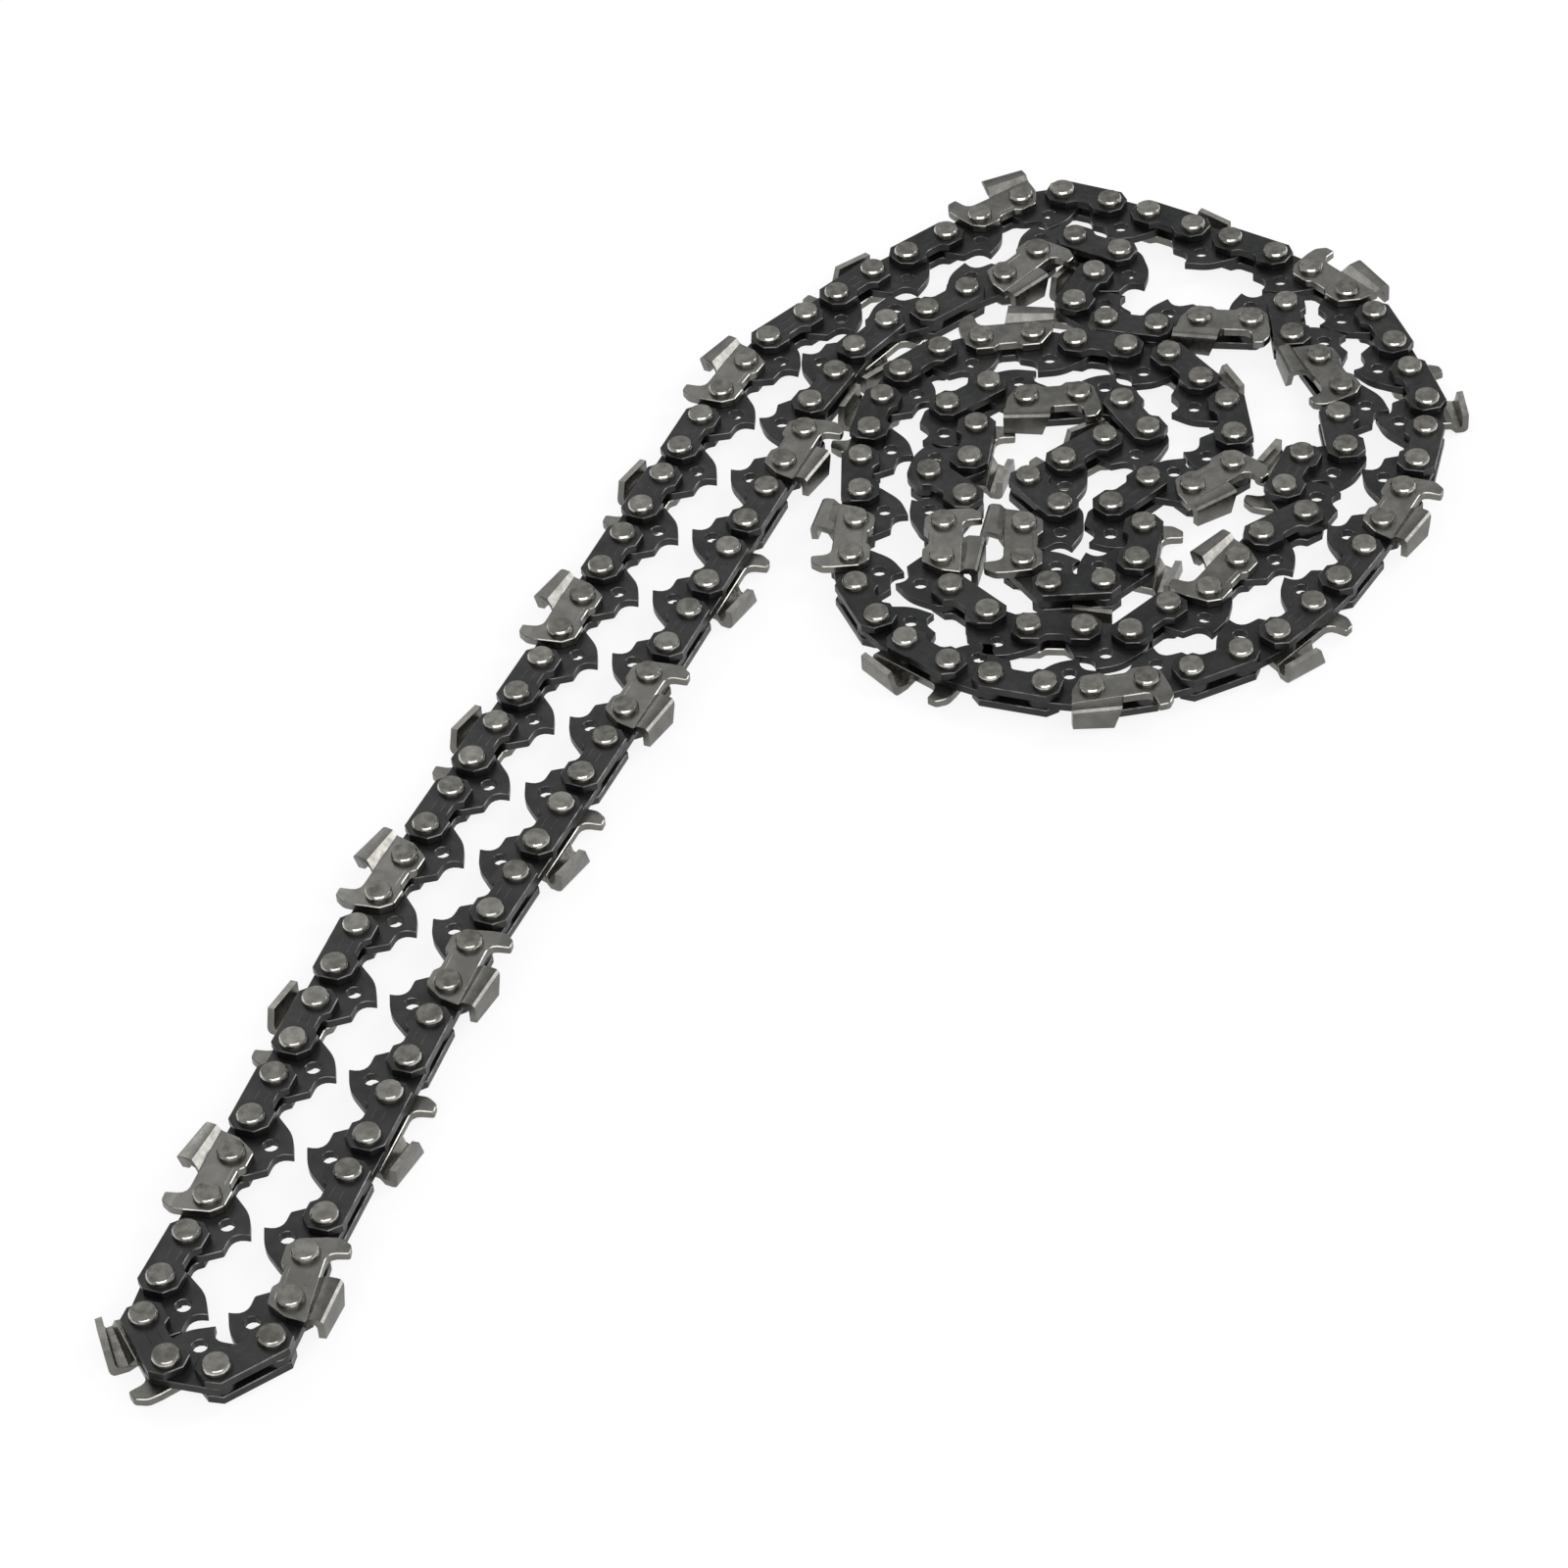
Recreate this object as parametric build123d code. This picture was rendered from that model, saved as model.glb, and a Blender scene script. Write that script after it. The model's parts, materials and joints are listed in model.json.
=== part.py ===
from build123d import *
from functools import cache
from math import atan2, cos, degrees, radians, sin
import os
import numpy as np

# A loop of saw chain on its side: a loose coil with two straight runs that meet at a tip.
# Travel is the way the teeth cut. Outward is to the right of it, and the drive tangs point left.

# Driving sizes in millimetres
pitch = 8.255  # mean rivet spacing, .325 in
gauge = 1.47  # drive link thickness, .058 in
plate = 1.5  # tie straps and cutter bodies
rivet_radius = 2.2
head_height = 1.0  # rivet head over the strap
head_taper = 12  # of a rivet head's sides, in degrees
half_kerf = 3.5  # tooth's side from the middle plane, and the height of that plane
tooth_plate = 1.1  # tooth's roof
roof_past = 0.6  # how far the roof passes the middle plane
clearance_angle = 8  # fall of the roof behind its edge, in degrees
running_clearance = 0.05  # round a hinge journal
lay_gap = 0.3  # between strands that lie against each other

# The chain: teeth of the two hands in turn, on every second side link
link_count = 86
left_teeth = [*range(1, 22, 4), *range(23, 84, 4)]
right_teeth = [*range(3, 20, 4), *range(25, 86, 4)]

# The lay: about where the middle of each side link of the coil lies, from the coil's first rivet
coil_route = [
    (12, 1), (28, -1), (42, -11), (55, -20), (65, -29), (53, -34), (45, -43), (51, -59), (52, -70),
    (40, -81), (28, -84), (13, -82), (0, -85), (-15, -79), (-27, -69), (-35, -56), (-34, -40),
    (-22, -31), (-6, -31), (8, -29), (20, -22), (23, -37), (21, -53), (9, -50), (-4, -41),
    (-19, -46), (-24, -59), (-13, -64), (-2, -58), (9, -68), (25, -68), (35, -55), (37, -40),
    (32, -25), (24, -11), (8, -13), (-8, -16), (-24, -19), (-39, -27), (-47, -40), (-48, -56),
    (-43, -71), (-32, -83), (-19, -94), (-4, -97), (12, -100), (29, -101), (44, -95), (56, -84),
    (66, -71), (71, -56), (76, -39), (78, -23), (70, -10), (56, -2), (41, 6), (26, 13), (11, 18),
]
coil_end = (-2, 18)  # the coil's last rivet
route_pitch = 8.255  # pitch of the chain on which the route was taken
links_before_coil = 13  # drive links from the tip to where the coil leaves the right run
segment_headings = [-1, -2, 3]  # run segments from the coil to the tip, in degrees
links_in_segment = 4
tip_turn = 95  # first and last link of the tip, in degrees from the line between its ends
tip_bends = (20, 125)  # range in which the next links' turn is sought
tip_share = 0.55  # turn of the links beside the middle one, as a share of that

# How the coil is settled
settling_steps = 600
steps_between_searches = 25  # for outlines that lie close
length_passes = 12  # after each step
last_length_passes = 400
lever_range = (-0.3, 1.3)  # of a push on a link, along its span
push_damping = 0.7  # where many outlines push one rivet
head_corners = 8
no_length = 1e-9

# Sizes that follow from them
strap_span = 1.084 * pitch  # between a side link's rivets
drive_span = 2 * pitch - strap_span
strap_half = 0.388 * pitch  # half a strap's height
strap_end = 0.333 * pitch  # strap past its rivet
strap_front = strap_span + strap_end
corner = 0.20 * pitch  # cut corner of a strap
tang_reach = 1.02 * pitch
tang_root = 0.70 * pitch
tooth_height = 0.872 * pitch  # cutting edge from the rivet line
tooth_length = 0.98 * pitch
edge_place = 0.44 * pitch  # cutting edge ahead of the trailing rivet
flare_root = 0.46 * pitch  # where the tooth steps out from the body
inner_face = gauge / 2
outer_face = gauge / 2 + plate
chords = 2 * link_count  # side links are even, drive links odd
chords_in_segment = 2 * links_in_segment
coil_first = 2 * links_before_coil + 1
coil_last = coil_first + 2 * len(coil_route) + 1
run_chords = chords_in_segment * len(segment_headings)

# Convex outlines from the trailing rivet, with travel along x
drive_body = [
    (-0.22 * pitch, -0.36 * pitch),
    (drive_span + 0.22 * pitch, -0.36 * pitch),
    (drive_span + 0.34 * pitch, -0.15 * pitch),
    (drive_span + 0.31 * pitch, 0.35 * pitch),
    (drive_span + 0.07 * pitch, tang_root),
    (0, tang_root),
    (-0.39 * pitch, 0.29 * pitch),
    (-0.36 * pitch, -0.17 * pitch),
]
drive_tang = [
    (0, tang_root),
    (0.68 * pitch, tang_root),
    (0.52 * pitch, tang_reach),
    (0.11 * pitch, 0.83 * pitch),
]
strap = [
    (corner - strap_end, -strap_half),
    (strap_front - corner, -strap_half),
    (strap_front, corner - strap_half),
    (strap_front, strap_half - corner),
    (strap_front - corner, strap_half),
    (corner - strap_end, strap_half),
    (-strap_end, strap_half - corner),
    (-strap_end, corner - strap_half),
]
cutter_body = [
    (-0.48 * pitch, -strap_half),
    (strap_front + 0.08 * pitch, -strap_half),
    (strap_front, strap_half - corner),
    (strap_front - corner, strap_half),
    (corner - strap_end, strap_half),
    (-0.40 * pitch, 0),
]
depth_gauge = [
    (strap_span - 0.05 * pitch, -0.37 * pitch),
    (strap_span + 0.10 * pitch, -0.80 * pitch),
    (strap_front - 0.08 * pitch, -0.78 * pitch),
    (strap_front + 0.10 * pitch, -0.40 * pitch),
    (strap_front + 0.08 * pitch, -0.37 * pitch),
]
tooth_step = [
    (-0.48 * pitch, -0.37 * pitch),
    (-0.48 * pitch, -0.52 * pitch),
    (edge_place, -0.56 * pitch),
    (0.56 * pitch, -0.37 * pitch),
]


def tooth_plan(near):
    """Plan of the tooth outward of a line, falling back from its edge."""
    rear = edge_place - tooth_length * cos(radians(clearance_angle))
    fall = tooth_length * sin(radians(clearance_angle))
    edge = [(edge_place, -tooth_height), (edge_place, -near)]
    return [*edge, (rear, fall - near), (rear, fall - tooth_height)]


def flat(outline, thickness):
    """Plate that stands on the plane z = 0."""
    return extrude(make_face(Polyline(*outline, close=True)), thickness)


@cache
def drive_link(bores):
    """Middle link with its sprocket tang."""
    blank = flat(drive_body, gauge) + flat(drive_tang, gauge)
    for x in bores:
        blank -= Pos(x, 0, 0) * Cylinder(rivet_radius + running_clearance, 4 * gauge)
    return Pos(0, 0, -gauge / 2) * blank


@cache
def tie_strap():
    """Upper strap, an eight-cornered plate over two rivets."""
    return Pos(0, 0, inner_face) * flat(strap, plate)


@cache
def cutter():
    """Upper cutter: body, depth gauge in front, and a tooth that steps up and folds over."""
    body = flat(cutter_body, plate) + flat(depth_gauge, plate) + flat(tooth_step, plate)
    flare = flat(tooth_plan(flare_root), half_kerf - outer_face)
    roof = flat(tooth_plan(tooth_height - tooth_plate), half_kerf + roof_past)
    return Pos(0, 0, inner_face) * body + Pos(0, 0, outer_face) * flare + Pos(0, 0, -roof_past) * roof


@cache
def lower(piece):
    return mirror(piece(), about=Plane.XY)


@cache
def rivet_head():
    """Head over a strap, six-sided because there are so many."""
    return Pos(0, 0, outer_face) * extrude(RegularPolygon(rivet_radius, 6), head_height, taper=head_taper)


@cache
def journal():
    """Middle of a hinge's rivet, held between the side plates and free in the drive link."""
    return Cylinder(rivet_radius, gauge)


def span(chord):
    return drive_span if chord % 2 else strap_span


def step(point, heading, chord):
    return point + span(chord) * np.array([cos(radians(heading)), sin(radians(heading))])


def lay_rivets():
    """Places of the rivets in travel order. A chord starts at the rivet of its own number."""
    rivets = np.zeros((chords, 2))
    unit = pitch / route_pitch
    route = unit * np.array([(0, 0), *coil_route, coil_end])
    rivets[coil_last] = route[-1]
    for i in range(1, len(route) - 1):
        half = (route[i + 1] - route[i - 1]) / np.linalg.norm(route[i + 1] - route[i - 1]) * strap_span / 2
        chord = coil_first + 2 * i - 1
        rivets[chord], rivets[chord + 1] = route[i] - half, route[i] + half
    # The left run is walked with travel and the right run against it, side by side
    first, last = coil_first, coil_last
    for heading in segment_headings:
        for _ in range(chords_in_segment):
            rivets[last + 1] = step(rivets[last], heading + 180, last)
            rivets[first - 1] = step(rivets[first], heading + 180, first - 1)
            first, last = first - 1, last + 1
    lay_tip(rivets, last, first)
    settle(rivets)
    return rivets


def lay_tip(rivets, last, first):
    """Bends the links between the two runs evenly, until they reach from one run to the other."""
    start, across = rivets[last], rivets[first] - rivets[last]
    line = degrees(atan2(across[1], across[0]))
    low, high = tip_bends
    while high - low > no_length:
        bend = (low + high) / 2
        path = [start]
        half_turns = [tip_turn, bend, tip_share * bend]
        for i, turn in enumerate([*(-t for t in half_turns), 0, *reversed(half_turns)]):
            path.append(step(path[-1], line + turn, last + i))
        too_long = np.linalg.norm(path[-1] - start) > np.linalg.norm(across)
        low, high = (bend, high) if too_long else (low, bend)
    for i in range(1, len(path) - 1):
        rivets[(last + i) % chords] = path[i]


def layered_outlines():
    """Every outline with its chord and the layer that it lies in."""
    turns = [radians(360 * i / head_corners) for i in range(head_corners)]
    head = [(rivet_radius * cos(turn), rivet_radius * sin(turn)) for turn in turns]
    heads = [head, [(x + strap_span, y) for x, y in head]]
    roof = tooth_plan(tooth_height - tooth_plate)
    found = []
    for chord in range(chords):
        if chord % 2:
            found += [(chord, "middle", drive_body), (chord, "middle", drive_tang)]
            continue
        for side, teeth in (("upper", left_teeth), ("lower", right_teeth)):
            found += [(chord, side + " heads", outline) for outline in heads]
            if chord // 2 in teeth:
                found += [(chord, side, o) for o in (cutter_body, depth_gauge, tooth_step, roof)]
                found += [(chord, "middle", roof), (chord, side + " heads", tooth_plan(flare_root))]
            else:
                found.append((chord, side, strap))
    return found


def widest_gap(fixed, moving):
    """For each pair, how far the second outline clears the first, which way, and its near corner."""
    edges = np.roll(fixed, -1, axis=1) - fixed
    lengths = np.linalg.norm(edges, axis=2)
    normals = np.stack([edges[..., 1], -edges[..., 0]], axis=2) / np.maximum(lengths, no_length)[..., None]
    beyond = np.einsum("pea,pca->pec", normals, moving) - np.sum(normals * fixed, axis=2)[..., None]
    beyond[lengths < no_length] = -np.inf
    pairs = np.arange(len(fixed))
    edge = beyond.min(axis=2).argmax(axis=1)
    near = beyond[pairs, edge].argmin(axis=1)
    return beyond[pairs, edge, near], normals[pairs, edge], moving[pairs, near]


def settle(rivets):
    """Pushes the coil's links apart where they overlap, and keeps every link at its length."""
    owner, layer, outlines = zip(*layered_outlines())
    owner, layer = np.array(owner), np.unique(layer, return_inverse=True)[1]
    corners = max(len(outline) for outline in outlines)
    local = np.array([outline + outline[-1:] * (corners - len(outline)) for outline in outlines])
    free = np.zeros(chords)
    free[coil_first + 1 : coil_last] = 1
    spans = np.array([span(chord) for chord in range(chords)])
    for count in range(settling_steps):
        start, end = rivets[owner], rivets[(owner + 1) % chords]
        along = (end - start) / np.linalg.norm(end - start, axis=1)[:, None]
        across = np.stack([-along[:, 1], along[:, 0]], axis=1)
        world = start[:, None] + local[..., :1] * along[:, None] + local[..., 1:] * across[:, None]
        if count % steps_between_searches == 0:
            first, second = near_pairs(world, owner, layer)
        gap, way, touch = widest_gap(world[first], world[second])
        back_gap, back_way, back_touch = widest_gap(world[second], world[first])
        turned = back_gap > gap
        gap = np.where(turned, back_gap, gap)
        way[turned], touch[turned] = -back_way[turned], back_touch[turned]
        close = gap < lay_gap
        push = way[close] * (lay_gap - gap[close])[:, None] / 2
        moves, shares = np.zeros((chords, 2)), np.zeros(chords)
        for outline, sign in ((first[close], -1), (second[close], 1)):
            chord = owner[outline]
            lever = np.sum((touch[close] - start[outline]) * along[outline], axis=1) / spans[chord]
            lever = np.clip(lever, *lever_range)[:, None]
            for rivet, part in ((chord, 1 - lever), ((chord + 1) % chords, lever)):
                np.add.at(moves, rivet, sign * push * part)
                np.add.at(shares, rivet, 1)
        rivets += moves * free[:, None] / np.maximum(shares, 1)[:, None] ** push_damping
        restore_lengths(rivets, spans, free, length_passes)
    restore_lengths(rivets, spans, free, last_length_passes)


def near_pairs(world, owner, layer):
    """Numbers of the outlines that share a layer and lie close enough to meet soon."""
    middle = world.mean(axis=1)
    reach = np.linalg.norm(world - middle[:, None], axis=2).max(axis=1)
    apart = np.linalg.norm(middle[:, None] - middle, axis=2) - reach[:, None] - reach
    meet = (apart < pitch / 2) & (layer[:, None] == layer) & (owner[:, None] != owner)
    return np.nonzero(np.triu(meet))


def restore_lengths(rivets, spans, free, times):
    for _ in range(times):
        for start in (np.arange(coil_first, coil_last, 2), np.arange(coil_first + 1, coil_last, 2)):
            link = rivets[start + 1] - rivets[start]
            length = np.linalg.norm(link, axis=1)
            excess = link * (1 - spans[start] / length)[:, None]
            share = (free[start] / (free[start] + free[start + 1]))[:, None]
            rivets[start] += excess * share
            rivets[start + 1] -= excess * (1 - share)


def body_of(chord):
    """Name of the rigid body that a link belongs to."""
    past = (chord - coil_last) % chords
    if past < run_chords:
        return f"left_run_{past // chords_in_segment + 1}"
    back = (coil_first - 1 - chord) % chords
    if back < run_chords:
        return f"right_run_{back // chords_in_segment + 1}"
    return "coil" if coil_first <= chord % chords < coil_last else "tip"


def is_hinge(rivet):
    return body_of(rivet - 1) != body_of(rivet)


def chord_pieces(chord):
    """Each piece of a link with the name of its kind."""
    ends = [(0, is_hinge(chord)), (span(chord), is_hinge(chord + 1))]
    if chord % 2:
        return [("drive_links", drive_link(tuple(x for x, hinged in ends if hinged)))]
    on_left, on_right = chord // 2 in left_teeth, chord // 2 in right_teeth
    pieces = [
        ("left_cutters", cutter()) if on_left else ("tie_straps", tie_strap()),
        ("right_cutters", lower(cutter)) if on_right else ("tie_straps", lower(tie_strap)),
    ]
    for x, hinged in ends:
        pieces.append(("rivets", Pos(x, 0, 0) * rivet_head()))
        if hinged:
            pieces.append(("rivets", Pos(x, 0, 0) * journal()))
    return pieces


def build():
    """Every piece in place, by node."""
    rivets = lay_rivets()
    nodes = {}
    for chord in range(chords):
        (ax, ay), (bx, by) = rivets[chord], rivets[(chord + 1) % chords]
        place = Pos(ax, ay, half_kerf) * Rot(0, 0, degrees(atan2(by - ay, bx - ax)))
        for kind, piece in chord_pieces(chord):
            nodes.setdefault(f"{body_of(chord)}_{kind}", []).append((place * piece).solid())
    return nodes


def centred(nodes):
    """Moves the lot so that the middle of its base is at the origin."""
    box = Compound([solid for solids in nodes.values() for solid in solids]).bounding_box()
    move = Pos(-box.center().X, -box.center().Y, -box.min.Z)
    return {name: [move * solid for solid in solids] for name, solids in nodes.items()}


os.makedirs("parts", exist_ok=True)
for name, solids in centred(build()).items():
    export_step(Compound(solids), f"parts/{name}.step")
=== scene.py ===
import json
import math
import bmesh
import bpy
from mathutils import Matrix, Vector
from mathutils.geometry import tessellate_polygon

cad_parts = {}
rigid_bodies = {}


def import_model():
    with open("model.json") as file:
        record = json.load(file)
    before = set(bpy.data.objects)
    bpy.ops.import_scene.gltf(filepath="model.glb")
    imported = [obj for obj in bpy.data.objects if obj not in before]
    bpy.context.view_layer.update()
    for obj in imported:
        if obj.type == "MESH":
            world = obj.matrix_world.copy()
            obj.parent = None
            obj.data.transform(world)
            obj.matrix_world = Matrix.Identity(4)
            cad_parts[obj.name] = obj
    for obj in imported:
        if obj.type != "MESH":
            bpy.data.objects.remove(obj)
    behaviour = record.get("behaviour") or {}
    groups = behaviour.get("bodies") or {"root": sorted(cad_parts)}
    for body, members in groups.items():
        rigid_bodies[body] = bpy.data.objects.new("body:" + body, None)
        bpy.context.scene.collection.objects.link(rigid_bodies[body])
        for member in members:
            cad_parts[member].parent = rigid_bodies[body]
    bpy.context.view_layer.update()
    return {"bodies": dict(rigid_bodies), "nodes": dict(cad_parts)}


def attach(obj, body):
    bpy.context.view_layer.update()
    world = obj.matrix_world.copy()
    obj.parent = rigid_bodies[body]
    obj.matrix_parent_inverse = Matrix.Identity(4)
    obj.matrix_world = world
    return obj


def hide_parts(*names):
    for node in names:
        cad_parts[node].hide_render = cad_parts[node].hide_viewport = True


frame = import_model()
scene = bpy.context.scene
scene.view_settings.view_transform = "Standard"
mm = 0.001

# Sizes in millimetres, travel along x from the trailing rivet, tangs towards +y
chain = {
    "strapSpan": 8.948,  # between a side link's rivets
    "driveSpan": 7.562,  # between a drive link's rivets
    "driveBack": 2.972,  # drive link's straight edge from the rivet line
    "middle": 3.5,  # height of the chain's middle plane
    "inner": 0.735,  # side plates' inner faces from that plane
    "outer": 2.235,  # and their outer faces
}


def rounded(corners, steps):
    # corners are x, y and the radius that takes the corner off
    outline = []
    for i, (x, y, radius) in enumerate(corners):
        here = Vector((x, y))
        if radius == 0:
            outline.append(here)
            continue
        back = (Vector(corners[i - 1][:2]) - here).normalized()
        ahead = (Vector(corners[(i + 1) % len(corners)][:2]) - here).normalized()
        half = back.angle(ahead) / 2
        middle = here + (back + ahead).normalized() * radius / math.sin(half)
        start = here + back * radius / math.tan(half) - middle
        end = here + ahead * radius / math.tan(half) - middle
        for k in range(steps + 1):
            outline.append(middle + start.slerp(end, k / steps) * radius)  # slerp gives unit length
    return outline


def inset(loop, width):
    # the loop moved into the metal, which lies on its left
    moved = []
    for i, here in enumerate(loop):
        back = (here - loop[i - 1]).normalized()
        ahead = (loop[(i + 1) % len(loop)] - here).normalized()
        one, other = Vector((-back.y, back.x)), Vector((-ahead.y, ahead.x))
        moved.append(here + (one + other) * width / (1 + one.dot(other)))
    return moved


def plateShell(loops, low, high, edge):
    # flat plate with its edges broken and marked as rubbed, a mark that also paints a highlight on them
    # loops after the first are holes and run clockwise
    bm = bmesh.new()
    rub = bm.faces.layers.float.new("rub")
    flats = [inset(loop, edge) for loop in loops]
    levels = [(flats, low), (loops, low + edge), (loops, high - edge), (flats, high)]
    rings = []
    for around, z in levels:
        rings.append([[bm.verts.new((p.x, p.y, z)) for p in loop] for loop in around])
    for k, (under, over) in enumerate(zip(rings, rings[1:])):
        for one, other in zip(under, over):
            for i in range(len(one)):
                j = (i + 1) % len(one)
                face = bm.faces.new((one[i], one[j], other[j], other[i]))
                # the broken edges get the rub mark: wear, and a painted edge highlight
                face[rub] = 0.0 if k == 1 else 1.0  # the band between the broken edges stays plain
    for ring in (rings[0], rings[-1]):
        points = [vert for loop in ring for vert in loop]
        if len(loops) == 1:
            bm.faces.new(points)
        else:
            for cap in tessellate_polygon([[vert.co for vert in loop] for loop in ring]):
                bm.faces.new([points[i] for i in cap])
    bmesh.ops.recalc_face_normals(bm, faces=bm.faces[:])
    return bm


def master(name, bm):
    # a shape in millimetres becomes an object in metres, for the trees to lay
    bmesh.ops.scale(bm, vec=(mm, mm, mm), verts=bm.verts[:])
    mesh = bpy.data.meshes.new(name)
    bm.to_mesh(mesh)
    bm.free()
    holder = bpy.data.objects.new(name, mesh)
    scene.collection.objects.link(holder)
    return holder


def turnedOver(name, piece):
    # the same shape for the chain's lower side
    bm = bmesh.new()
    bm.from_mesh(piece.data)
    bmesh.ops.scale(bm, vec=(1, 1, -1), verts=bm.verts[:])
    bmesh.ops.recalc_face_normals(bm, faces=bm.faces[:])
    bmesh.ops.scale(bm, vec=(1 / mm, 1 / mm, 1 / mm), verts=bm.verts[:])
    return master(name, bm)


driveLink = {
    "corners": [
        (-2.95, -2.97, 2.3), (10.4, -2.97, 2.3), (10.12, 2.89, 1.2), (8.14, 5.76, 0.5),
        (4.62, 5.76, 1.9), (4.3, 8.4, 0.1), (0.45, 6.8, 7.0), (-3.2, 2.4, 3.5),
    ],
    "cornerSteps": 4,
    "oilHole": (3.3, 4.35),
    "oilRadius": 1.2,
    "oilSides": 12,
    "edge": 0.1,
}


def makeDriveLink():
    x, y = driveLink["oilHole"]
    turns = [-math.tau * i / driveLink["oilSides"] for i in range(driveLink["oilSides"])]
    radius = driveLink["oilRadius"]
    hole = [Vector((x, y)) + radius * Vector((math.cos(t), math.sin(t))) for t in turns]
    outline = rounded(driveLink["corners"], driveLink["cornerSteps"])
    half = chain["inner"]  # the drive link fills the room between the side plates
    return master("driveLinkShape", plateShell([outline, hole], -half, half, driveLink["edge"]))


tieStrap = {
    "corners": [
        (-1.1, -3.2, 0), (10.05, -3.2, 0), (11.7, -1.55, 0), (11.7, 1.55, 0), (10.05, 3.2, 0),
        (7.0, 3.2, 0), (6.0, 2.05, 0.8), (2.95, 2.05, 0.8), (1.95, 3.2, 0), (-1.1, 3.2, 0),
        (-2.75, 1.55, 0), (-2.75, -1.55, 0),
    ],
    "cornerSteps": 1,
    "edge": 0.13,
    "lines": [(3.1, 5.6, -0.85), (3.3, 5.9, 0.75)],  # pressed lines: from x, to x, at y
}
pressedLine = {"width": 0.2, "height": 0.04}


def addPressedLine(bm, start, end, y):
    # low roof-shaped ridge, set a little into the plate's outer face
    half, face = pressedLine["width"] / 2, chain["outer"]
    foot = [(start, y - half), (end, y - half), (end, y + half), (start, y + half)]
    low = [bm.verts.new((*p, face - pressedLine["height"])) for p in foot]
    ridge = [bm.verts.new((x, y, face + pressedLine["height"])) for x in (start + half, end - half)]
    sides = [(low[0], low[1], ridge[1], ridge[0]), (low[2], low[3], ridge[0], ridge[1])]
    ends = [(low[1], low[2], ridge[1]), (low[3], low[0], ridge[0])]
    for ring in [*sides, *ends, low[::-1]]:
        bm.faces.new(ring)


def makeTieStrap():
    outline = rounded(tieStrap["corners"], tieStrap["cornerSteps"])
    bm = plateShell([outline], chain["inner"], chain["outer"], tieStrap["edge"])
    for line in tieStrap["lines"]:
        addPressedLine(bm, *line)
    return master("tieStrapShape", bm)


cutter = {
    "corners": [
        (-3.96, -3.2, 0), (9.2, -3.2, 1.5), (9.65, -6.43, 0.35), (11.4, -6.28, 0.8), (12.5, -4.5, 2.0),
        (12.36, -2.4, 1.5), (11.7, 1.55, 0.7), (10.05, 3.2, 0.7), (6.9, 3.2, 0.8), (6.0, 2.35, 1.0),
        (2.95, 2.35, 1.0), (2.05, 3.2, 0.8), (-1.1, 3.2, 0.9), (-3.3, 0, 1.5),
    ],
    "cornerSteps": 3,
    "edge": 0.13,
    "gaugeFold": -4.3,  # line where the depth gauge is set in
    "gaugeSlope": 0.04,  # fall of its outer face from there on
    "line": (2.6, 6.3, 1.55),  # pressed line beside the waist
    "toothHeight": 7.2,  # at the cutting edge, from the rivet line
    "toothFall": 1.126,  # from the edge to the tooth's rear
    "sideFall": 0.45,  # how much lower the raised side lies at the tooth's rear
    "slope": (3.2, 3.9),  # from the rivet line, where the side climbs out of the plate
    "roofSlant": 0.36,  # trail of the roof's edge for each millimetre across the chain
    "edgePlace": 3.63,  # of the edge's outer corner
    "halfKerf": 3.5,
    "stations": 2,
    # the folded plate's section: from the rivet line, share of the tooth's height added to that,
    # height, rear end, front end or none on the slanted edge, and how rubbed the face after it is, a
    # mark that also paints a highlight on it
    "section": [
        (2.7, 0, 2.1, -3.8, 4.7, 0.0),
        (3.2, 0, 2.24, -3.94, 4.55, 0.3),  # slope out of the plate
        (1.2, 0.45, 3.42, -4.1, 3.9, 0.05),  # raised side
        (-1.0, 1, 3.5, -4.2, 3.63, 0.1),  # round fold
        (-0.5, 1, 3.37, -4.25, 3.6, 0.2),
        (-0.13, 1, 3.0, -4.3, None, 0.1),
        (0, 1, 2.5, -4.3, None, 0.0),  # roof
        (0, 1, -0.6, -4.3, None, 0.5),  # its far edge
        (-1.1, 1, -0.6, -4.3, None, 0.1),  # the same from inside, back to the plate
        (-1.1, 1, 1.9, -4.3, None, 0.5),
        # these high marks paint a highlight on the tooth's inner faces
        (-1.4, 1, 2.35, -4.2, 3.5, 0.75),
        (1.1, 0.45, 2.25, -4.1, 3.8, 0.9),
        (3.4, 0, 0.95, -3.94, 4.4, 0.1),
        (2.7, 0, 0.8, -3.8, 4.7, 0.0),
    ],
}


def addTooth(bm):
    # the section is swept from rear to front, while the tooth rises to its edge
    rub = bm.faces.layers.float["rub"]
    foot, top = cutter["slope"]
    rings = []
    for i in range(cutter["stations"] + 1):
        along = i / cutter["stations"]
        height = cutter["toothHeight"] - cutter["toothFall"] * (1 - along)
        ring = []
        for out, share, z, rear, front, _ in cutter["section"]:
            if front is None:
                front = cutter["edgePlace"] - cutter["roofSlant"] * (cutter["halfKerf"] - z)
            out += share * height
            if z > chain["inner"]:
                z -= cutter["sideFall"] * (1 - along) * min(1, max(0, (out - foot) / (top - foot)))
            ring.append(bm.verts.new((rear + (front - rear) * along, -out, z)))
        rings.append(ring)
    made = []
    for one, other in zip(rings, rings[1:]):
        for k, (*_, mark) in enumerate(cutter["section"]):
            j = (k + 1) % len(one)
            face = bm.faces.new((one[k], one[j], other[j], other[k]))
            # the face's rub mark, which paints a highlight as well as wear
            face[rub] = mark
            made.append(face)
    made += [bm.faces.new(rings[0]), bm.faces.new(rings[-1])]
    bmesh.ops.recalc_face_normals(bm, faces=made)


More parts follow.
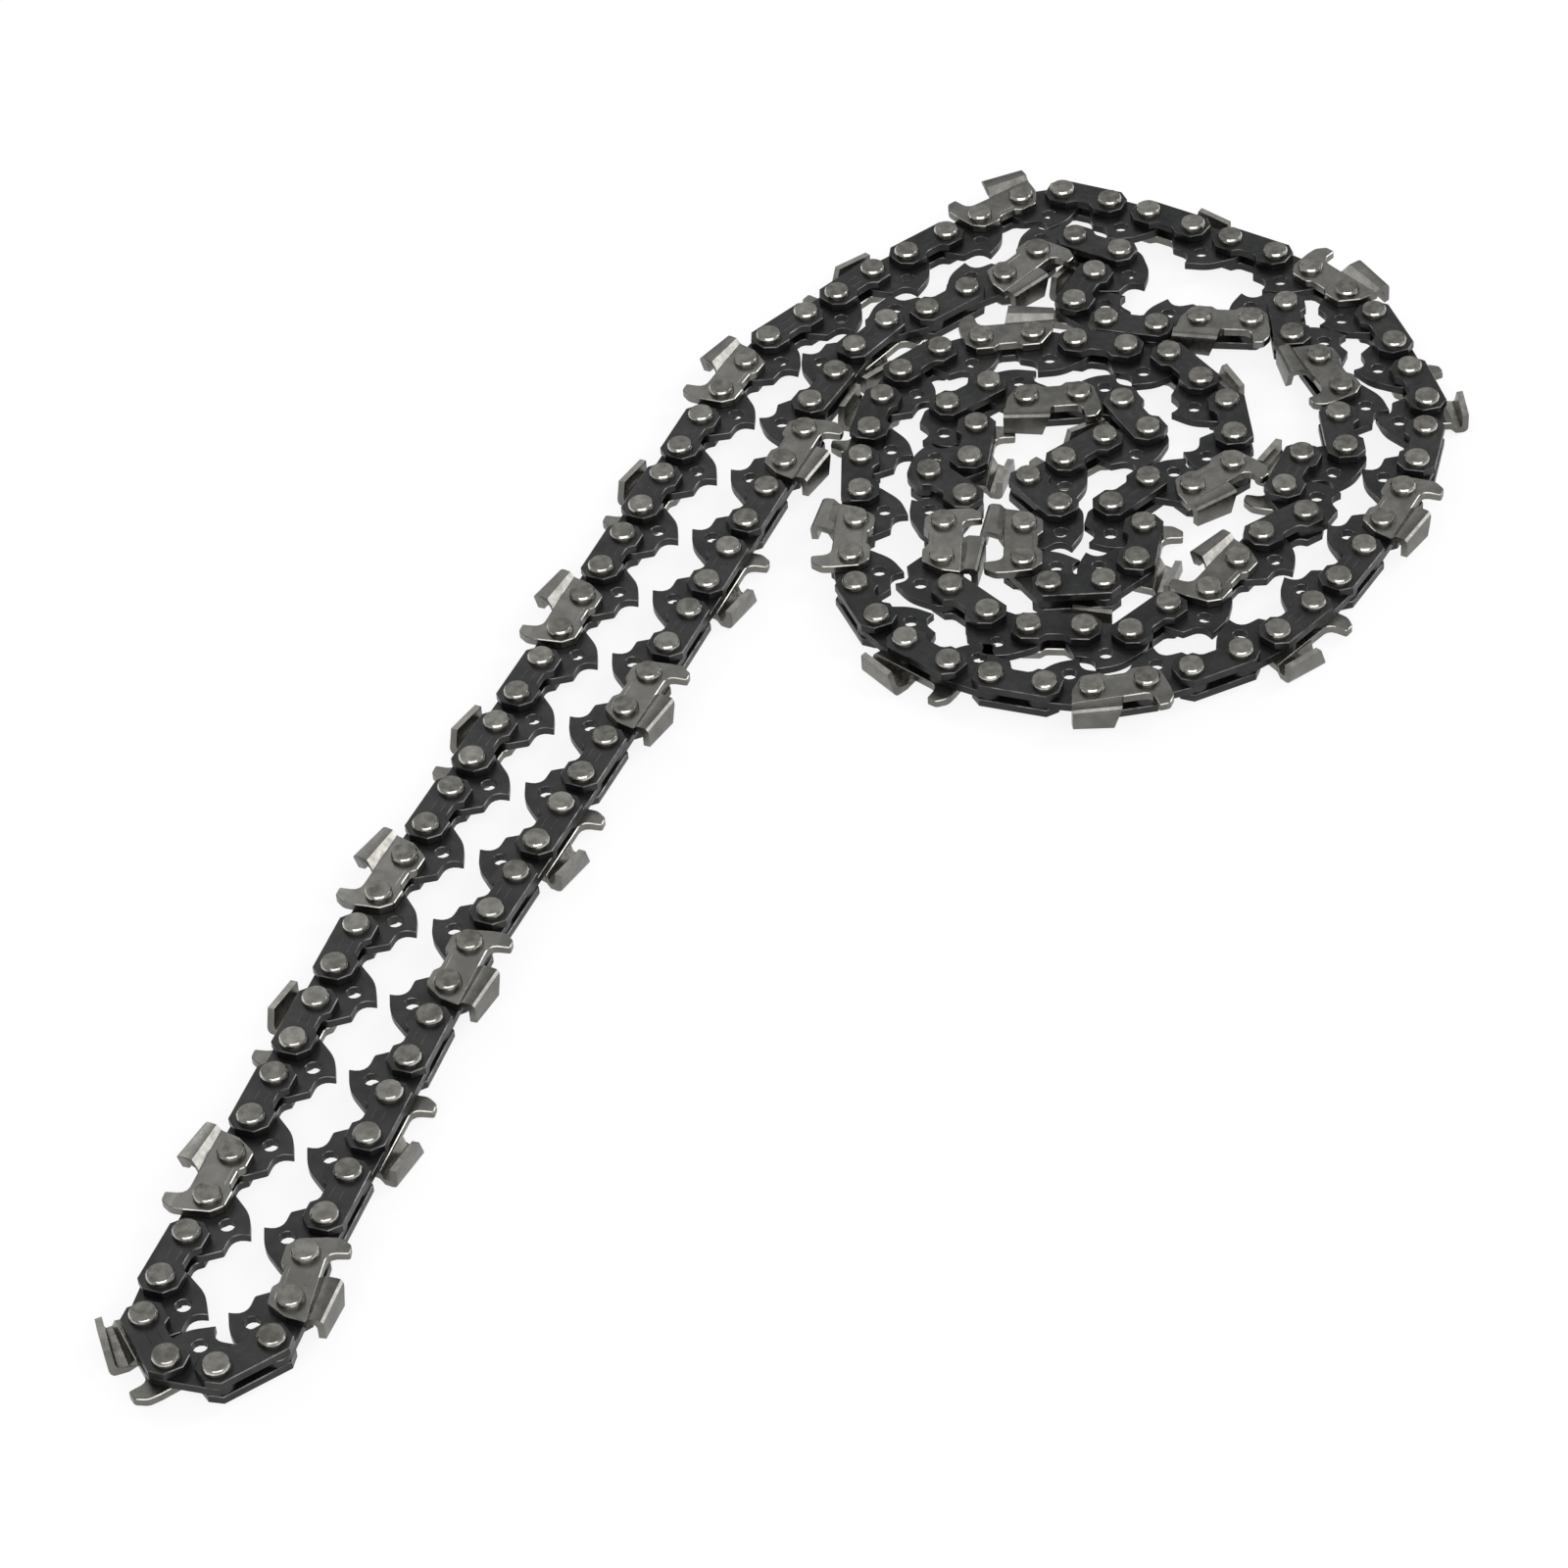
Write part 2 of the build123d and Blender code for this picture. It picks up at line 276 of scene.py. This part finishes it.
def makeCutter():
    outline = rounded(cutter["corners"], cutter["cornerSteps"])
    bm = plateShell([outline], chain["inner"], chain["outer"], cutter["edge"])
    addPressedLine(bm, *cutter["line"])
    fold = cutter["gaugeFold"]
    everything = bm.verts[:] + bm.edges[:] + bm.faces[:]
    bmesh.ops.bisect_plane(bm, geom=everything, plane_co=(0, fold, 0), plane_no=(0, 1, 0))
    plateMiddle = (chain["inner"] + chain["outer"]) / 2
    for vert in bm.verts:
        if vert.co.y < fold and vert.co.z > plateMiddle:
            vert.co.z -= cutter["gaugeSlope"] * (fold - vert.co.y)
    addTooth(bm)
    return master("leftCutterShape", bm)


# Where the links lie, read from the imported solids

reading = {
    "weld": 1e-6,  # metres between loose triangles that meet
    "climb": 1e-6,  # metres, the most in a level edge
    "bend": 0.5,  # radians, the least at an edge of the outline
}


def solidsOf(nodeName):
    # every solid of a node, as the vertices of a merged copy
    bm = bmesh.new()
    bm.from_mesh(frame["nodes"][nodeName].data)
    bmesh.ops.remove_doubles(bm, verts=bm.verts[:], dist=reading["weld"])
    seen, solids = set(), []
    for first in bm.verts:
        if first in seen:
            continue
        seen.add(first)
        solid, waiting = [], [first]
        while waiting:
            vert = waiting.pop()
            solid.append(vert)
            for edge in vert.link_edges:
                other = edge.other_vert(vert)
                if other not in seen:
                    seen.add(other)
                    waiting.append(other)
        solids.append(solid)
    return bm, solids


def longEdges(solid):
    # level edges of the outline, longest first
    edges = dict.fromkeys(edge for vert in solid for edge in vert.link_edges)
    level = []
    for edge in edges:
        a, b = edge.verts
        if abs(a.co.z - b.co.z) < reading["climb"] and edge.calc_face_angle(0) > reading["bend"]:
            level.append(edge)
    return sorted(level, key=lambda edge: -edge.calc_length())


def driveSeat(solid):
    # trailing rivet and heading, from the straight outer edge
    a, b = (vert.co.xy for vert in longEdges(solid)[0].verts)
    along = (b - a).normalized()
    left = Vector((-along.y, along.x))
    middle = sum((vert.co.xy for vert in solid), Vector((0, 0))) / len(solid)
    if left.dot(middle - a) < 0:
        along, left = -along, -left
    rear = (a + b) / 2 - along * chain["driveSpan"] * mm / 2 + left * chain["driveBack"] * mm
    return rear, along


def strapSeat(solid):
    # middle, axis and side, from the two long edges on both faces
    ends = [vert.co for edge in longEdges(solid)[:4] for vert in edge.verts]
    middle = sum(ends, Vector((0, 0, 0))) / len(ends)
    a, b = (end.xy for end in ends[:2])
    return middle.xy, (b - a).normalized(), 1 if middle.z > chain["middle"] * mm else -1


def readLay():
    driveSeats, sideLinks = {}, {}
    for body in frame["bodies"]:
        bm, solids = solidsOf(f"{body}_drive_links")
        driveSeats[body] = [driveSeat(solid) for solid in solids]
        bm.free()
    reach = chain["driveSpan"] * mm
    fronts = [rear + along * reach for seats in driveSeats.values() for rear, along in seats]
    for body in frame["bodies"]:
        bm, solids = solidsOf(f"{body}_tie_straps")
        found = {}
        for solid in solids:
            middle, axis, side = strapSeat(solid)
            half = axis * chain["strapSpan"] * mm / 2
            ends = []
            for end in (middle - half, middle + half):
                gaps = [(front - end).length for front in fronts]
                ends.append((min(gaps), gaps.index(min(gaps)), end))
            ends.sort(key=lambda item: item[0])  # a drive link's front rivet is the strap's rear one
            (_, key, rear), (_, _, front) = ends
            link = {"rear": rear, "along": (front - rear).normalized(), "straps": set()}
            found.setdefault(key, link)["straps"].add(side)
        sideLinks[body] = list(found.values())
        bm.free()
    return driveSeats, sideLinks


def placesFor(body, kind):
    # rear rivet, direction and side of every piece of one kind on a body
    if kind == "driveLinks":
        return [(rear, along, 1) for rear, along in driveSeats[body]]
    places = []
    for link in sideLinks[body]:
        rear, along = link["rear"], link["along"]
        if kind == "rivets":
            places += [(rear, along, 1), (rear + along * chain["strapSpan"] * mm, along, 1)]
        elif kind == "tieStraps":
            places += [(rear, along, side) for side in sorted(link["straps"])]
        else:
            side = 1 if kind == "leftCutters" else -1
            places += [(rear, along, side)] if side not in link["straps"] else []
    return places


# Trees that lay the pieces

def newTree(name, sockets):
    tree = bpy.data.node_groups.new(name, "GeometryNodeTree")
    ids = {}
    for label, kind in sockets:
        made = tree.interface.new_socket(name=label, in_out="INPUT", socket_type="NodeSocket" + kind)
        ids[label] = made.identifier
    tree.interface.new_socket(name="Laid", in_out="OUTPUT", socket_type="NodeSocketGeometry")
    return tree, ids


def addNode(tree, kind, **settings):
    made = tree.nodes.new(kind)
    for key, value in settings.items():
        setattr(made, key, value)
    return made


def addPlacing(tree, entry):
    # points raised to the middle plane, and each one's turn
    link = tree.links.new
    lift = addNode(tree, "ShaderNodeCombineXYZ")
    link(entry.outputs["Layer height"], lift.inputs["Z"])
    raised = addNode(tree, "GeometryNodeSetPosition")
    link(entry.outputs["Places"], raised.inputs["Geometry"])
    link(lift.outputs[0], raised.inputs["Offset"])
    heading = addNode(tree, "GeometryNodeInputNamedAttribute", data_type="FLOAT")
    heading.inputs["Name"].default_value = "heading"
    euler = addNode(tree, "ShaderNodeCombineXYZ")
    link(heading.outputs["Attribute"], euler.inputs["Z"])
    turn = addNode(tree, "FunctionNodeEulerToRotation")
    link(euler.outputs[0], turn.inputs[0])
    return raised.outputs["Geometry"], turn.outputs[0]


def addEnding(tree, entry, laid):
    # every piece gets its own tone, then the lot is made real and finished
    link = tree.links.new
    tone = addNode(tree, "FunctionNodeRandomValue", data_type="FLOAT")
    link(entry.outputs["Tone spread"], tone.inputs[3])  # highest number, from 0
    link(entry.outputs["Seed"], tone.inputs["Seed"])
    keep = addNode(tree, "GeometryNodeStoreNamedAttribute", data_type="FLOAT", domain="INSTANCE")
    keep.inputs["Name"].default_value = "tone"
    link(laid, keep.inputs["Geometry"])
    link(tone.outputs[1], keep.inputs["Value"])
    real = addNode(tree, "GeometryNodeRealizeInstances")
    link(keep.outputs["Geometry"], real.inputs["Geometry"])
    finish = addNode(tree, "GeometryNodeSetMaterial")
    link(real.outputs["Geometry"], finish.inputs["Geometry"])
    link(entry.outputs["Finish"], finish.inputs["Material"])
    leave = addNode(tree, "NodeGroupOutput")
    link(finish.outputs["Geometry"], leave.inputs["Laid"])


commonSockets = [
    ("Places", "Geometry"), ("Layer height", "Float"), ("Finish", "Material"),
    ("Tone spread", "Float"), ("Seed", "Int"),
]


def makePlateTree():
    pieces = [("Upper piece", "Object"), ("Lower piece", "Object")]
    tree, ids = newTree("layPlates", commonSockets + pieces)
    link = tree.links.new
    entry = addNode(tree, "NodeGroupInput")
    places, turn = addPlacing(tree, entry)
    side = addNode(tree, "GeometryNodeInputNamedAttribute", data_type="FLOAT")
    side.inputs["Name"].default_value = "side"
    both = addNode(tree, "GeometryNodeJoinGeometry")
    for label, test in (("Upper piece", "GREATER_THAN"), ("Lower piece", "LESS_THAN")):
        chosen = addNode(tree, "FunctionNodeCompare", data_type="FLOAT", operation=test)
        link(side.outputs["Attribute"], chosen.inputs[0])
        shape = addNode(tree, "GeometryNodeObjectInfo")
        link(entry.outputs[label], shape.inputs["Object"])
        laid = addNode(tree, "GeometryNodeInstanceOnPoints")
        link(places, laid.inputs["Points"])
        link(chosen.outputs[0], laid.inputs["Selection"])
        link(shape.outputs["Geometry"], laid.inputs["Instance"])
        link(turn, laid.inputs["Rotation"])
        link(laid.outputs["Instances"], both.inputs["Geometry"])
    addEnding(tree, entry, both.outputs["Geometry"])
    return tree, ids


rivet = {
    "Sides": 16,
    "Shank radius": 2.2 * mm,
    "Shank length": 5.37 * mm,  # to where the shoulders begin
    "Shoulder rise": 0.3 * mm,
    "Shoulder share": 0.95,  # of the shank's radius
    "Face rise": 0.25 * mm,
    "Face share": 0.91,  # of the shoulder's radius
}


def makeRivetTree():
    sizes = [(label, "Int" if label == "Sides" else "Float") for label in rivet]
    tree, ids = newTree("spinRivets", commonSockets + sizes)
    link = tree.links.new
    entry = addNode(tree, "NodeGroupInput")
    places, turn = addPlacing(tree, entry)
    shank = addNode(tree, "GeometryNodeMeshCylinder", fill_type="NGON")
    for label, socket in (("Sides", "Vertices"), ("Shank radius", "Radius"), ("Shank length", "Depth")):
        link(entry.outputs[label], shank.inputs[socket])
    ends = addNode(tree, "FunctionNodeBooleanMath", operation="OR")
    link(shank.outputs["Top"], ends.inputs[0])
    link(shank.outputs["Bottom"], ends.inputs[1])
    shape, picked = shank.outputs["Mesh"], ends.outputs[0]
    for rise, share in (("Shoulder rise", "Shoulder share"), ("Face rise", "Face share")):
        drawn = addNode(tree, "GeometryNodeExtrudeMesh", mode="FACES")
        link(shape, drawn.inputs["Mesh"])
        link(picked, drawn.inputs["Selection"])
        link(entry.outputs[rise], drawn.inputs["Offset Scale"])
        narrowed = addNode(tree, "GeometryNodeScaleElements", domain="FACE")
        link(drawn.outputs["Mesh"], narrowed.inputs["Geometry"])
        link(drawn.outputs["Top"], narrowed.inputs["Selection"])
        link(entry.outputs[share], narrowed.inputs["Scale"])
        # the rim's rings get the rub mark, which paints a bright highlight on the rivet's rim as well
        # as wear
        rubbedAndHighlight = addNode(tree, "GeometryNodeStoreNamedAttribute", data_type="FLOAT", domain="FACE")
        rubbedAndHighlight.inputs["Name"].default_value = "rub"
        rubbedAndHighlight.inputs["Value"].default_value = 1
        link(narrowed.outputs["Geometry"], rubbedAndHighlight.inputs["Geometry"])
        link(drawn.outputs["Side"], rubbedAndHighlight.inputs["Selection"])
        shape, picked = rubbedAndHighlight.outputs["Geometry"], drawn.outputs["Top"]
    laid = addNode(tree, "GeometryNodeInstanceOnPoints")
    link(places, laid.inputs["Points"])
    link(shape, laid.inputs["Instance"])
    link(turn, laid.inputs["Rotation"])
    addEnding(tree, entry, laid.outputs["Instances"])
    return tree, ids


crispAngle = math.radians(26)  # edges that bend more aren't shaded smooth


def lay(name, places, tree, ids, inputs):
    # one body's pieces of a kind, as a plain mesh
    mesh = bpy.data.meshes.new(name)
    mesh.from_pydata([(rear.x, rear.y, 0) for rear, _, _ in places], [], [])
    headings = mesh.attributes.new("heading", "FLOAT", "POINT")
    headings.data.foreach_set("value", [math.atan2(along.y, along.x) for _, along, _ in places])
    sides = mesh.attributes.new("side", "FLOAT", "POINT")
    sides.data.foreach_set("value", [float(side) for _, _, side in places])
    piece = bpy.data.objects.new(name, mesh)
    scene.collection.objects.link(piece)
    layer = piece.modifiers.new("lay", "NODES")
    layer.node_group = tree
    for label, value in inputs.items():
        layer[ids[label]] = value
    graph = bpy.context.evaluated_depsgraph_get()
    laid = piece.evaluated_get(graph)
    plain = bpy.data.meshes.new_from_object(laid, preserve_all_data_layers=True, depsgraph=graph)
    piece.modifiers.remove(layer)
    piece.data = plain
    plain.shade_smooth()
    plain.set_sharp_from_angle(angle=crispAngle)
    return piece


# Finishes

def newFinish(name):
    finish = bpy.data.materials.new(name)
    finish.use_nodes = True
    return finish, finish.node_tree, finish.node_tree.nodes["Principled BSDF"]


def addNoise(tree, scale, detail, rough=0.5):
    where = addNode(tree, "ShaderNodeTexCoord")
    noise = addNode(tree, "ShaderNodeTexNoise")
    noise.inputs["Scale"].default_value = scale
    noise.inputs["Detail"].default_value = detail
    noise.inputs["Roughness"].default_value = rough
    tree.links.new(where.outputs["Object"], noise.inputs["Vector"])
    return noise.outputs["Fac"]


# detail of each noise, and the lowest and highest of its values that are used
noises = {"mottle": (3, 0.35, 0.65), "rub": (2, 0.38, 0.62), "rough": (4, 0.3, 0.7)}


def addSpread(tree, kind, scale, low, high):
    # a noise stretched from low to high
    detail, fromLow, fromHigh = noises[kind]
    made = addNode(tree, "ShaderNodeMapRange")
    for i, number in enumerate((fromLow, fromHigh, low, high)):
        made.inputs[i + 1].default_value = number
    tree.links.new(addNoise(tree, scale, detail), made.inputs[0])
    return made.outputs[0]


def addMath(tree, kind, a, b):
    made = addNode(tree, "ShaderNodeMath", operation=kind, use_clamp=True)
    for socket, value in zip(made.inputs, (a, b)):
        if isinstance(value, (int, float)):
            socket.default_value = value
        else:
            tree.links.new(value, socket)
    return made.outputs[0]


def addMix(tree, share, a, b):
    made = addNode(tree, "ShaderNodeMix", data_type="RGBA")
    tree.links.new(share, made.inputs[0])
    for socket, value in zip(made.inputs[6:8], (a, b)):  # the node's two colours
        if isinstance(value, tuple):
            socket.default_value = (*value, 1)
        else:
            tree.links.new(value, socket)
    return made.outputs[2]


def addMark(tree, name):
    made = addNode(tree, "ShaderNodeAttribute", attribute_name=name)
    return made.outputs["Fac"]


grain = {"strength": 0.25, "detail": 4, "rough": 0.6}


def addGrain(tree, shader, scale, height):
    bump = addNode(tree, "ShaderNodeBump")
    bump.inputs["Strength"].default_value = grain["strength"]
    bump.inputs["Distance"].default_value = height
    tree.links.new(addNoise(tree, scale, grain["detail"], grain["rough"]), bump.inputs["Height"])
    tree.links.new(bump.outputs["Normal"], shader.inputs["Normal"])


def makeFinish(name, look):
    # mottled metal with rubbed edges and painted highlights on the marked faces, its tone a little
    # different on every piece
    finish, tree, shader = newFinish(name)
    cloud = addSpread(tree, "mottle", look["mottleScale"], 0, 1)
    mottled = addMath(tree, "MULTIPLY", cloud, look["mottle"])
    shade = addMath(tree, "ADD", mottled, addMark(tree, "tone"))
    base = addMix(tree, shade, look["dark"], look["pale"])
    # faces with the rub mark turn towards the bare colour: worn metal, and a painted highlight as well
    wornAndHighlight = addSpread(tree, "rub", look["rubAndHighlightScale"], look["rubAndHighlightLow"], look["rubAndHighlightHigh"])
    rubbedAndHighlight = addMath(tree, "MULTIPLY", wornAndHighlight, addMark(tree, "rub"))
    tree.links.new(addMix(tree, rubbedAndHighlight, base, look["bareAndHighlight"]), shader.inputs["Base Color"])
    rough = addSpread(tree, "rough", look["roughScale"], *look["roughness"])
    smoother = addMath(tree, "MULTIPLY", addMark(tree, "rub"), look["rubPolish"])
    tree.links.new(addMath(tree, "SUBTRACT", rough, smoother), shader.inputs["Roughness"])
    shader.inputs["Metallic"].default_value = look["metallic"]
    addGrain(tree, shader, look["grainScale"], look["grainHeight"])
    return finish


# bare is the colour of worn metal, and also the painted highlight on marked edges, rivet rims and tooth
# faces
bluedSteel = {
    "dark": (0.024, 0.0245, 0.0245), "pale": (0.055, 0.056, 0.0536), "bareAndHighlight": (0.17, 0.17, 0.162),
    "mottleScale": 260, "mottle": 0.45,
    "rubAndHighlightScale": 420, "rubAndHighlightLow": 0.0, "rubAndHighlightHigh": 0.55, "rubPolish": 0.06,
    "roughScale": 900, "roughness": (0.30, 0.46), "metallic": 0.9,
    "grainScale": 5200, "grainHeight": 0.00002,
}
cutterSteel = {
    "dark": (0.102, 0.1, 0.093), "pale": (0.212, 0.207, 0.19), "bareAndHighlight": (0.46, 0.445, 0.405),
    "mottleScale": 300, "mottle": 0.45,
    "rubAndHighlightScale": 500, "rubAndHighlightLow": 0.3, "rubAndHighlightHigh": 0.75, "rubPolish": 0.08,
    "roughScale": 1100, "roughness": (0.26, 0.40), "metallic": 1.0,
    "grainScale": 5200, "grainHeight": 0.000015,
}
rivetSteel = {
    "dark": (0.098, 0.094, 0.083), "pale": (0.256, 0.246, 0.219), "bareAndHighlight": (0.62, 0.60, 0.55),
    "mottleScale": 700, "mottle": 0.55,
    "rubAndHighlightScale": 500, "rubAndHighlightLow": 0.45, "rubAndHighlightHigh": 1.0, "rubPolish": 0.14,
    "roughScale": 1500, "roughness": (0.26, 0.42), "metallic": 1.0,
    "grainScale": 5200, "grainHeight": 0.00002,
}

driveSeats, sideLinks = readLay()
driveCount = sum(map(len, driveSeats.values()))
sideCount = sum(map(len, sideLinks.values()))
print("lay read:", driveCount, "drive links,", sideCount, "side links")

driveShape = makeDriveLink()
strapShape = makeTieStrap()
leftShape = makeCutter()
shapes = {
    "driveLinks": (driveShape, driveShape),
    "tieStraps": (strapShape, turnedOver("lowerStrapShape", strapShape)),
    "leftCutters": (leftShape, leftShape),
    "rightCutters": (leftShape, turnedOver("rightCutterShape", leftShape)),
}
print("plates shaped")

finishes = {
    "blued_steel": makeFinish("bluedSteel", bluedSteel),
    "cutter_steel": makeFinish("cutterSteel", cutterSteel),
    "rivet_steel": makeFinish("rivetSteel", rivetSteel),
}
kinds = {  # node's ending, slot, spread of tone between pieces, seed
    "driveLinks": ("drive_links", "blued_steel", 0.35, 3),
    "tieStraps": ("tie_straps", "blued_steel", 0.45, 5),
    "leftCutters": ("left_cutters", "cutter_steel", 0.5, 7),
    "rightCutters": ("right_cutters", "cutter_steel", 0.5, 11),
    "rivets": ("rivets", "rivet_steel", 0.45, 13),
}
plateTree, plateIds = makePlateTree()
rivetTree, rivetIds = makeRivetTree()
for body in frame["bodies"]:
    for kind, (ending, slot, spread, seed) in kinds.items():
        places = placesFor(body, kind)
        inputs = {
            "Layer height": chain["middle"] * mm, "Finish": finishes[slot],
            "Tone spread": spread, "Seed": seed,
        }
        if kind == "rivets":
            piece = lay(f"{body}.{kind}", places, rivetTree, rivetIds, inputs | rivet)
        else:
            inputs["Upper piece"], inputs["Lower piece"] = shapes[kind]
            piece = lay(f"{body}.{kind}", places, plateTree, plateIds, inputs)
        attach(piece, body)
        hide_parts(f"{body}_{ending}")
    print(body, "laid")

for upper, lower in shapes.values():  # the trees' shapes aren't pieces themselves
    for shape in (upper, lower):
        if shape.name in scene.collection.objects:
            scene.collection.objects.unlink(shape)

studio = {
    "floorSize": 3.0,
    "floorDrop": 0.00005,  # keeps the floor clear of the lower cutters, which lie on it
    "floorColour": (0.93, 0.93, 0.93),
    "floorRoughness": 0.9,
    "floorGlow": 0.85,  # share of plain white that the camera sees on the floor
    "worldColour": (0.86, 0.88, 0.90),
    "worldStrength": 0.42,
    # place, aimed at, width, height, power
    "lamps": [
        ((-0.85, -0.48, 0.8), (0.0, 0.0, 0.0), 1.7, 1.0, 15),
        ((0.55, -0.65, 0.6), (0.05, 0.0, 0.0), 0.45, 0.8, 5),
        ((0.35, 0.85, 0.7), (0.05, 0.0, 0.0), 1.0, 0.4, 4),
        ((0.95, 0.32, 0.75), (0.08, 0.0, 0.0), 0.7, 0.4, 0.7),
    ],
}


def makeStudio():
    bpy.ops.mesh.primitive_plane_add(size=studio["floorSize"], location=(0, 0, -studio["floorDrop"]))
    floor = bpy.context.object
    floor.name = "floor"
    paper, tree, shader = newFinish("whitePaper")
    shader.inputs["Base Color"].default_value = (*studio["floorColour"], 1)
    shader.inputs["Roughness"].default_value = studio["floorRoughness"]
    glow = addNode(tree, "ShaderNodeEmission")
    seen = addNode(tree, "ShaderNodeLightPath")
    rays = addMath(tree, "ADD", seen.outputs["Is Camera Ray"], seen.outputs["Is Glossy Ray"])
    rays = addMath(tree, "ADD", rays, seen.outputs["Is Transmission Ray"])
    share = addMath(tree, "MULTIPLY", rays, studio["floorGlow"])
    blend = addNode(tree, "ShaderNodeMixShader")
    tree.links.new(share, blend.inputs[0])
    tree.links.new(shader.outputs[0], blend.inputs[1])
    tree.links.new(glow.outputs[0], blend.inputs[2])
    tree.links.new(blend.outputs[0], tree.nodes["Material Output"].inputs["Surface"])
    floor.data.materials.append(paper)
    world = bpy.data.worlds.new("studio")
    scene.world = world
    world.use_nodes = True
    sky = world.node_tree.nodes["Background"]
    sky.inputs["Color"].default_value = (*studio["worldColour"], 1)
    sky.inputs["Strength"].default_value = studio["worldStrength"]
    for i, (place, aim, width, height, power) in enumerate(studio["lamps"]):
        lamp = bpy.data.lights.new(f"softbox{i + 1}", "AREA")
        lamp.shape = "RECTANGLE"
        lamp.size, lamp.size_y, lamp.energy = width, height, power
        holder = bpy.data.objects.new(lamp.name, lamp)
        holder.location = place
        holder.rotation_euler = (Vector(aim) - Vector(place)).to_track_quat("-Z", "Y").to_euler()
        scene.collection.objects.link(holder)


photoView = {
    "place": (-0.56656, -0.23932, 0.56128),
    "heading": 24.17,  # degrees from +x on the floor
    "tilt": 42.36,  # below level
    "roll": 4.13,
    "lens": 121.0,
    "sensor": 36.0,
}


def makeCamera():
    heading, tilt, roll = (math.radians(photoView[key]) for key in ("heading", "tilt", "roll"))
    level = Vector((math.cos(heading), math.sin(heading), 0))
    forward = level * math.cos(tilt) - Vector((0, 0, math.sin(tilt)))
    right = Vector((level.y, -level.x, 0))
    down = forward.cross(right)
    rolledRight = math.cos(roll) * right + math.sin(roll) * down
    rolledDown = math.cos(roll) * down - math.sin(roll) * right
    data = bpy.data.cameras.new("photoCamera")
    data.lens = photoView["lens"]
    data.sensor_width = data.sensor_height = photoView["sensor"]
    camera = bpy.data.objects.new("photoCamera", data)
    turn = Matrix((rolledRight, -rolledDown, -forward)).transposed().to_4x4()
    camera.matrix_world = Matrix.Translation(photoView["place"]) @ turn
    scene.collection.objects.link(camera)
    scene.camera = camera


makeStudio()
makeCamera()
print("studio and camera set")
